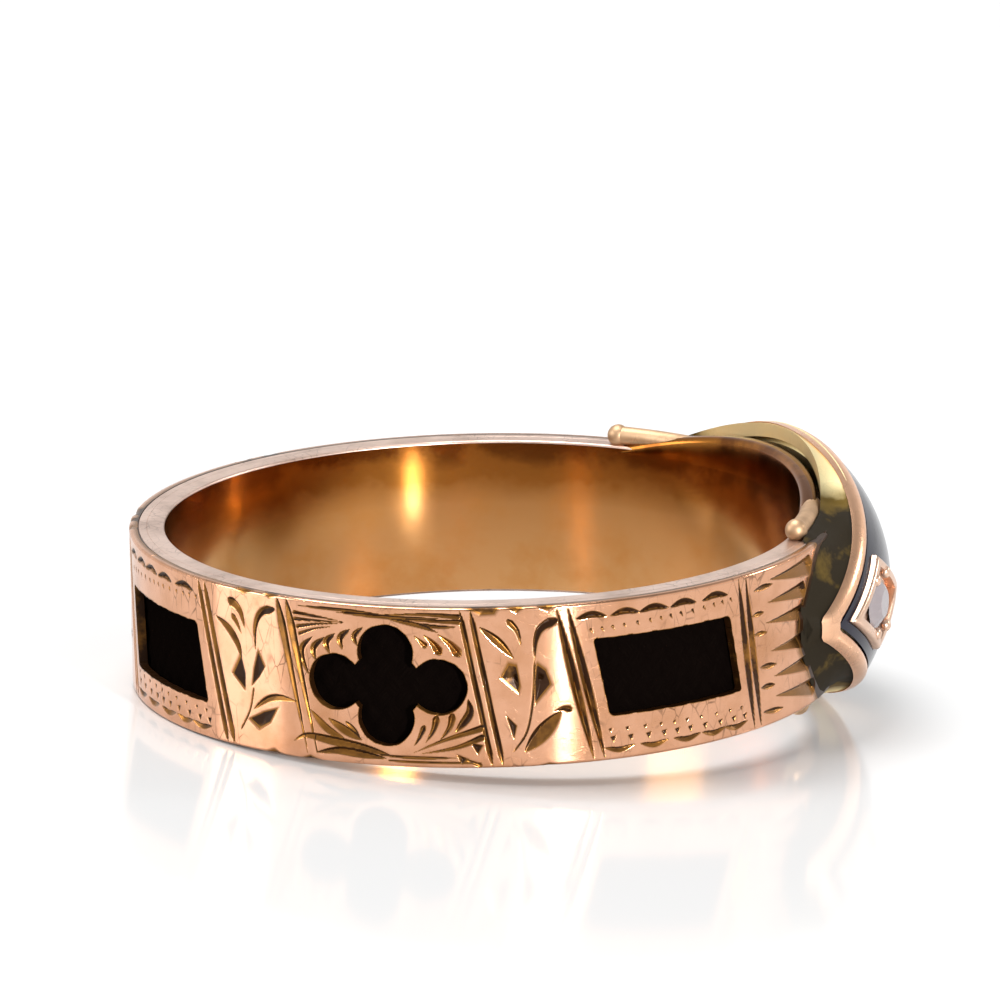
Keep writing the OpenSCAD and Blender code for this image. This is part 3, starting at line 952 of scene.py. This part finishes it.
# The wall's section from its foot up the hollow outside, under the rim and down the inside: how far it is drawn in
# from the outline, how far it has come from the foot's place to the outline's, how far up it is, and its lift in mm.
wallRows = [
    (0.0, 0, 0, 0), (0.05, 0.28, 0.06, 0), (0.12, 0.52, 0.17, 0), (0.16, 0.72, 0.33, 0), (0.15, 0.87, 0.53, 0),
    (0.09, 0.96, 0.74, 0), (0.03, 1, 0.9, 0), (0.02, 1, 1, -0.12), (0.28, 1, 1, -0.12), (0.28, 1, 1, -0.30),
    (0.40, 1, 1, -0.32), (0.40, 1, 0, 0),
]
rimRows = [
    (0.0, 1, 1, -0.16), (0.0, 1, 1, -0.07), (0.03, 1, 1, 0.0), (0.08, 1, 1, 0.035), (0.14, 1, 1, 0.045),
    (0.20, 1, 1, 0.035), (0.25, 1, 1, 0.0), (0.28, 1, 1, -0.07), (0.28, 1, 1, -0.16),
]


# Painted shade on the head's wall, darkest at its foot: it fades up the wall, and towards the middle of the head's
# side.
def wallShadeAt(place):
    low = (head["grimeTop"] - math.hypot(place.x, place.y) + outerR) / head["grimeFade"]
    ends = (abs(place.y) - head["grimeFrom"]) / (head["grimeEnds"] - head["grimeFrom"])
    return min(max(low, 0), 1) * min(max(ends, head["leastGrime"]), 1)


def makeAlmondRing(name, rows, material):
    footY, footPlaceY, footPlaceZ = np.array(footRows).T

    def place(u, v):
        inset, reach, level, lift = alongSection(rows, v)
        y, z = almondOutline(u, inset)
        top = crownCentre + crownLevel(y, z, lift)
        hollow = np.where((level > 0) & (level < 1), np.clip((np.abs(y) - 3) / 2, 0.2, 1), 1)
        y, z = almondOutline(u, inset * hollow)
        onFoot = np.abs(y) > footY[0]
        awayY = np.where(onFoot, np.sign(y) * np.interp(np.abs(y), footY, footPlaceY), y)
        awayZ = np.where(onFoot, np.sign(z) * np.interp(np.abs(y), footY, footPlaceZ), z)
        y, z = awayY + (y - awayY) * reach, awayZ + (z - awayZ) * reach
        overEdge = (halfHeight - 0.08, halfHeight + 0.05)       # where the foot steps down past the band's edge
        bottomR = np.interp(np.abs(z), overEdge, (outerR - 0.05, outerR - head["skirt"]))
        bottom = np.sqrt(bottomR ** 2 - y * y)
        return bottom + (top - bottom) * level, y, z

    bm = bentGrid(240, len(rows), place, closed=True)
    bmesh.ops.holes_fill(bm, edges=bm.edges, sides=0)
    faceOut(bm)
    setPaintedShade(bm, wallShadeAt)
    finishPiece(bm, name, material, sharpAngle=50)


# The back carries the liner on under the head, rounded along its edge, and ends beside the wires. Its section's rows
# give the place outwards from the finger hole and the drop from the edge.
backRows = [(0, 0), (0, -0.18), (0.04, -0.06), (0.13, 0), (0.36, 0), (0.46, -0.06), (0.5, -0.18), (0.5, 0)]


def makeHeadBack(name, side):
    rise = (head["backWide"] - band["height"]) / 2
    reachR, halfAngle = fingerR + wire["inset"], math.radians(head["backEnd"])
    halfL = reachR * math.sin(halfAngle)
    sideR = (halfL ** 2 + rise ** 2) / 2 / rise

    def place(u, v):
        outward, drop = alongSection(backRows, v, closed=False)
        n = v * (len(backRows) - 1)
        angle = halfAngle * (2 * u - 1)
        r = fingerR - 0.01 + outward
        y = reachR * np.sin(angle)
        top = head["backWide"] / 2 - sideR + np.sqrt(sideR ** 2 - y * y)
        foot = np.clip(1 - n, 0, 1) + np.clip(n - len(backRows) + 2, 0, 1)
        z = (top + drop) * (1 - foot) + (halfHeight - 0.2) * foot
        return r * np.cos(angle), r * np.sin(angle), side * z

    bm = bentGrid(96, len(backRows) - 1, place)
    bmesh.ops.holes_fill(bm, edges=bm.edges, sides=0)
    faceOut(bm)
    # Painted shade: the back under the head is evenly darkened.
    setPaintedShade(bm, lambda place: head["backTone"])
    finishPiece(bm, name, linerGold, sharpAngle=50)


# A patch of the crown inside the almond, pierced for the settings and given a thickness.
def crownPatch(columns, rows, inset, lift, thickness, spare):
    halfLong = math.sqrt((planR - inset) ** 2 - planShift ** 2)
    reach = 1 + spare * math.hypot(settingL, settingW) / (settingL * settingW)

    def place(u, v):
        y = (2 * u - 1) * halfLong
        z = (2 * v - 1) * (np.sqrt((planR - inset) ** 2 - y * y) - planShift)
        return crownCentre + crownLevel(y, z, lift), y, z

    bm = bentGrid(columns, rows, place, closed=True)
    if bm.faces[len(bm.faces) // 2].normal.x < 0:
        bmesh.ops.reverse_faces(bm, faces=bm.faces)
    for angle in settingAngles:
        swing = Matrix.Translation((crownCentre, 0, 0)) @ Matrix.Rotation(angle, 4, "Z")
        for along, across in ((1, 1), (-1, 1), (-1, -1), (1, -1)):
            bmesh.ops.bisect_plane(
                bm, geom=bm.verts[:] + bm.edges[:] + bm.faces[:], dist=1e-5,
                plane_co=swing @ Vector((0, along * settingL * reach, 0)),
                plane_no=swing.to_3x3() @ Vector((0, along * settingW, across * settingL)))
        back = swing.inverted()
        holed = []
        for face in bm.faces:
            spot = back @ face.calc_center_median()
            if spot.x > 0 and abs(spot.y) / settingL + abs(spot.z) / settingW < reach:
                holed.append(face)
        bmesh.ops.delete(bm, geom=holed, context="FACES")
    bmesh.ops.solidify(bm, geom=bm.faces, thickness=thickness)
    faceOut(bm)
    return bm


settingAngle = (math.asin((head["long"] / 2 - setting["margin"]) / head["alongR"])
                - math.asin(setting["long"] / 2 / head["alongR"]))
settingAngles = (-settingAngle, 0, settingAngle)

# A setting's section from its buried foot, up over the frame, down the slope to the stone's seat and back:
# how far it is drawn in from the lozenge, how round it is (0 a lozenge, 1 the seat), and its lift over the crown.
settingRows = [
    (0.0, 0, -0.45), (0.0, 0, 0.10), (0.02, 0, 0.15), (0.07, 0, 0.18), (0.20, 0, 0.18), (0.26, 0, 0.15),
    (0.28, 0, 0.08), (0.29, 0.0, -0.10), (0.30, 0.35, -0.16), (0.30, 0.7, -0.15), (0.30, 1, -0.12), (0.30, 1, -0.45),
]


def makeSetting(name, angle):
    edge = math.hypot(settingL, settingW) / (settingL * settingW)
    ringY = settingL * np.array([1, 0, -1, 0, 1])
    ringZ = settingW * np.array([0, 1, 0, -1, 0])

    def place(u, v):
        inset, rounding, lift = alongSection(settingRows, v)
        size = 1 - inset * edge
        quarter = (4 * u) % 1
        corner = np.floor(4 * u).astype(int) % 4
        y = size * (ringY[corner] * (1 - quarter) + ringY[corner + 1] * quarter)
        z = size * (ringZ[corner] * (1 - quarter) + ringZ[corner + 1] * quarter)
        turn = np.arctan2(z / settingW, y / settingL)
        y = y * (1 - rounding) + setting["seat"] * np.cos(turn) * rounding
        z = z * (1 - rounding) + setting["seat"] * np.sin(turn) * rounding
        return crownLevel(y, z, lift), y, z

    bm = bentGrid(64, len(settingRows), place, closed=True)

    # Four grains hold the stone, one over the middle of each side of the lozenge.
    orbit = setting["stone"] / 2 + setting["grain"] / 3
    grainTurn = math.atan2(setting["long"], setting["wide"])
    for along in (-1, 1):
        for across in (-1, 1):
            y, z = along * orbit * math.cos(grainTurn), across * orbit * math.sin(grainTurn)
            grain = bmesh.new()
            spot = Matrix.Translation((head["alongR"] + setting["grainLift"], y, z)) @ Matrix.Diagonal((0.8, 1, 1, 1))
            bmesh.ops.create_icosphere(grain, subdivisions=3, radius=setting["grain"] / 2, matrix=spot)
            joinInto(bm, grain)
    swing = Matrix.Translation((crownCentre, 0, 0)) @ Matrix.Rotation(angle, 4, "Z")
    bmesh.ops.transform(bm, matrix=swing, verts=bm.verts)
    finishPiece(bm, name, settingGold, sharpAngle=50)


makeAlmondRing("headWall", wallRows, headGold)
makeAlmondRing("headRim", rimRows, bezelGold)
plate = crownPatch(96, 40, head["wall"] - 0.05, -head["enamel"], head["plate"], -0.12)
finishPiece(plate, "headPlate", headGold)
dome = crownPatch(160, 72, head["rim"] + head["enamelGap"], 0, head["enamel"] - head["enamelGap"], head["enamelGap"])
finishPiece(dome, "enamelDome", enamelMaterial, node="enamel_field")
for name, angle in zip(("settingNear", "settingMiddle", "settingFar"), settingAngles):
    makeSetting(name, angle)
for name in ("stone_near", "stone_middle", "stone_far"):
    stone = frame["nodes"][name]
    stone.data.materials.clear()
    stone.data.materials.append(stoneMaterial)
print("head built")


def makeWire(name, side, edge):
    wireR = fingerR + wire["inset"]
    wireZ = edge * (halfHeight + wire["thick"] / 2 - wire["sink"])
    start, end = (math.radians(side * wire[key]) for key in ("from", "to"))
    bm = bmesh.new()
    upright = Matrix.Rotation(math.pi / 2, 4, "X")
    stand = Matrix.Rotation(start, 4, "Z") @ Matrix.Translation((wireR, 0, wireZ)) @ upright
    bmesh.ops.create_circle(bm, cap_ends=True, segments=20, radius=wire["thick"] / 2, matrix=stand)
    bmesh.ops.spin(bm, geom=bm.faces[:], cent=(0, 0, 0), axis=(0, 0, 1), angle=end - start, steps=16)
    bmesh.ops.remove_doubles(bm, verts=bm.verts, dist=1e-5)
    faceOut(bm)
    ball = bmesh.new()
    spot = Matrix.Rotation(end, 4, "Z") @ Matrix.Translation((wireR, 0, wireZ))
    bmesh.ops.create_uvsphere(ball, u_segments=32, v_segments=16, radius=wire["ball"] / 2, matrix=spot)
    joinInto(bm, ball)
    finishPiece(bm, name, wireGold, sharpAngle=60)


for name, side, edge in (
        ("wireNearTop", -1, 1), ("wireNearBottom", -1, -1), ("wireFarTop", 1, 1), ("wireFarBottom", 1, -1)):
    makeWire(name, side, edge)
makeHeadBack("headBackTop", 1)
makeHeadBack("headBackBottom", -1)
print("wires laid")

# The stage: a pale glossy floor, a bright world and soft lights.
stage = {
    "floorSize": 3.0, "floorTone": 0.6, "floorRoughness": 0.1, "worldStrength": 1.0,
    "worldRamp": ((0.3, 1.0), (0.95, 0.3)),      # heights in the world, and its tone at each
}


def makeFloor():
    bm = bmesh.new()
    bmesh.ops.create_grid(bm, x_segments=8, y_segments=8, size=stage["floorSize"] / 2)
    bmesh.ops.translate(bm, vec=(0, 0, cadBox[0][2]), verts=bm.verts)
    material, add = startMaterial("paleFloor")
    tone = stage["floorTone"]
    shaded(add, {"Base Color": (tone, tone, tone, 1), "Roughness": stage["floorRoughness"], "IOR": 1.5})
    floor = linked("paleFloor", meshFrom(bm, "paleFloor"))
    floor.data.materials.append(material)


def makeWorld():
    world = bpy.data.worlds.new("studio")
    bpy.context.scene.world = world
    world.use_nodes = True
    world.node_tree.nodes.clear()
    add = nodeTools(world.node_tree)
    direction = add("ShaderNodeTexCoord").outputs["Generated"]
    height = add("ShaderNodeSeparateXYZ", {"Vector": direction}).outputs["Z"]
    ramp = add("ShaderNodeValToRGB", {"Fac": height})
    for element, (position, tone) in zip(ramp.color_ramp.elements, stage["worldRamp"]):
        element.position = position
        element.color = (tone, tone, tone, 1)
    sky = add("ShaderNodeBackground", {"Color": ramp.outputs["Color"], "Strength": stage["worldStrength"]})
    add("ShaderNodeOutputWorld", {"Surface": sky.outputs[0]})


# Each light's direction round the ring and above the floor, in degrees, its distance and size in metres, and its
# power in watts.
lightColumns = ("name", "around", "above", "distance", "size", "power")
lightRows = [
    ("key", -86.5, 11, 0.4, 0.03, 1.9),
    ("overhead", 130, 75, 0.3, 0.2, 1.1),
    ("left", 165, 20, 0.3, 0.14, 0.35),
    ("right", -6, 30, 0.3, 0.05, 0.15),
]


def makeLights():
    for row in lightRows:
        light = dict(zip(lightColumns, row))
        lamp = bpy.data.lights.new(light["name"], "AREA")
        lamp.size = light["size"]
        lamp.energy = light["power"]
        around, above = math.radians(light["around"]), math.radians(light["above"])
        facing = Matrix.Rotation(around + math.pi / 2, 4, "Z") @ Matrix.Rotation(math.pi / 2 - above, 4, "X")
        linked(light["name"], lamp).matrix_world = facing @ Matrix.Translation((0, 0, light["distance"]))


# The camera stands where the photograph's did: turned from the head's side, a little above the floor, and rolled.
camera = {
    "turn": 24.0, "elevation": 12.65, "roll": 3.11,
    "distance": 300.0, "lens": 380.4,
    "ringAcross": -0.476, "ringUp": -2.707,     # where the ring's centre shows, in mm from the picture's middle
}


def makeCamera():
    lens = bpy.data.cameras.new("camera")
    lens.lens = camera["lens"]
    lens.sensor_width = 36
    lens.clip_start = 0.01
    view = linked("camera", lens)
    turn, tip, roll = (math.radians(camera[key]) for key in ("turn", "elevation", "roll"))
    away = Vector((-camera["ringAcross"], -camera["ringUp"], camera["distance"])) / 1000
    facing = Matrix.Rotation(-turn, 4, "Z") @ Matrix.Rotation(math.pi / 2 - tip, 4, "X")
    view.matrix_world = facing @ Matrix.Rotation(roll, 4, "Z") @ Matrix.Translation(away)
    bpy.context.scene.camera = view


makeFloor()
makeWorld()
makeLights()
makeCamera()
bpy.context.scene.view_settings.view_transform = "Standard"
print("stage set")
